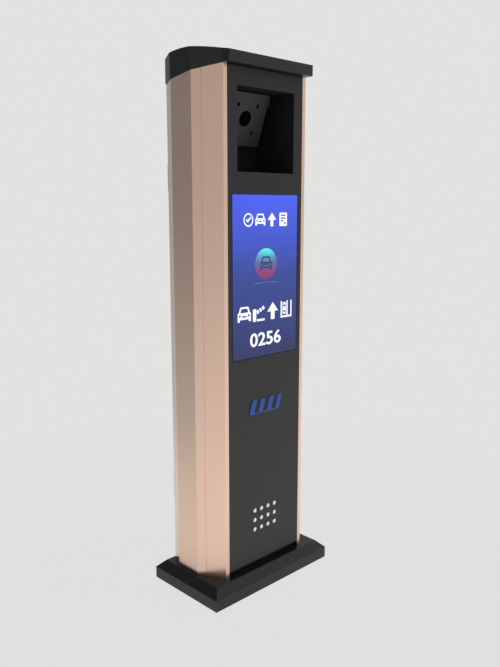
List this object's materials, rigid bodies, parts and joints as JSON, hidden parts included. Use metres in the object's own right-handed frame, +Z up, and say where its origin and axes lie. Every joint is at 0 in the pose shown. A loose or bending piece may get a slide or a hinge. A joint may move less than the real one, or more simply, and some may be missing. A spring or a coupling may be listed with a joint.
{
  "type": "vehicle access terminal column",
  "caption": "Floor-standing vehicle terminal column: faceted metal pillar on a bevelled plinth with screen, speaker grille, camera recess with tilting plate, brimmed cap and rear door.",
  "frame": {"origin": "middle of the plinth's underside, on the floor", "axes": "+Z up; the front panel faces -Y; +X to the right of someone who looks at the front panel from outside, towards +Y"},
  "size_m": [0.488, 0.289, 1.586],
  "materials": {
    "gold_anodised": "satin anodised, rose gold",
    "black_paint": "fine-textured black powder coat",
    "panel_paint": "satin black powder coat",
    "zinc_steel": "zinc plated sheet",
    "bright_steel": "bright steel",
    "heatsink": "extruded",
    "screen_glass": "lit display behind smooth glass, blue",
    "white_insert": "matt white",
    "badge_blue": "glossy blue",
    "rubber": "matt",
    "black_plastic": "moulded, matt",
    "grey_plastic": "moulded, matt"
  },
  "bodies": {
    "column": {"corner_profile_left": "gold_anodised", "corner_profile_right": "gold_anodised", "side_shell_left": "gold_anodised", "side_shell_right": "gold_anodised", "rear_header": "gold_anodised", "rear_sill": "gold_anodised", "base_plinth": "black_paint", "top_cap": "black_paint", "kick_plate": "black_paint", "camera_niche": "black_paint", "camera_yoke": "black_paint", "front_panel": "panel_paint", "bottom_frame": "zinc_steel", "top_frame": "zinc_steel", "mount_rail_left": "zinc_steel", "mount_rail_right": "zinc_steel", "chassis_plate": "zinc_steel", "gland_plate": "zinc_steel", "screen_module": "zinc_steel", "screen_strap_lower": "zinc_steel", "screen_strap_upper": "zinc_steel", "power_supply": "zinc_steel", "din_rail": "zinc_steel", "column_bolt_1": "bright_steel", "column_bolt_2": "bright_steel", "column_bolt_3": "bright_steel", "column_bolt_4": "bright_steel", "cap_screw_1": "bright_steel", "cap_screw_2": "bright_steel", "cap_screw_3": "bright_steel", "cap_screw_4": "bright_steel", "speaker_magnet": "bright_steel", "hinge_frame_leaf_lower": "bright_steel", "hinge_frame_leaf_upper": "bright_steel", "hinge_pin_lower": "bright_steel", "hinge_pin_upper": "bright_steel", "controller_heatsink": "heatsink", "screen_glass": "screen_glass", "speaker_insert": "white_insert", "badge": "badge_blue", "door_seal": "rubber", "speaker_cone": "rubber", "cable_gland": "black_plastic", "speaker_basket": "black_plastic", "controller_case": "black_plastic", "terminal_blocks": "grey_plastic", "breaker": "grey_plastic"},
    "door": {"rear_door": "gold_anodised", "door_rim": "gold_anodised", "hinge_door_leaf_lower": "bright_steel", "hinge_door_leaf_upper": "bright_steel", "lock_housing": "bright_steel", "fan_frame": "black_plastic"},
    "lock": {"lock_plug": "bright_steel", "lock_cam": "bright_steel"},
    "fan": {"fan_rotor": "black_plastic"},
    "camera_tilt": {"camera_plate": "black_paint", "pivot_screw_left": "bright_steel", "pivot_screw_right": "bright_steel"},
    "breaker_handle": {"breaker_lever": "black_plastic"}
  },
  "joints": [
    {"name": "door_hinge", "type": "hinge", "parent": "column", "child": "door", "pos_m": [-0.17625, 0.1188, 0.77302], "axis": [0, 0, 1], "range_deg": [0, 110]},
    {"name": "lock_turn", "type": "hinge", "parent": "door", "child": "lock", "pos_m": [0.146, 0.105, 0.77302], "axis": [0, -1, 0], "range_deg": [0, 90]},
    {"name": "fan_spin", "type": "hinge", "parent": "door", "child": "fan", "pos_m": [0, 0.099, 1.38503], "axis": [0, 1, 0], "continuous": true},
    {"name": "camera_tilt", "type": "hinge", "parent": "column", "child": "camera_tilt", "pos_m": [0, -0.02421, 1.46626], "axis": [1, 0, 0], "range_deg": [-10, 15]},
    {"name": "breaker_switch", "type": "hinge", "parent": "column", "child": "breaker_handle", "pos_m": [-0.01, 0.0836, 0.44], "axis": [1, 0, 0], "range_deg": [0, 80]}
  ]
}
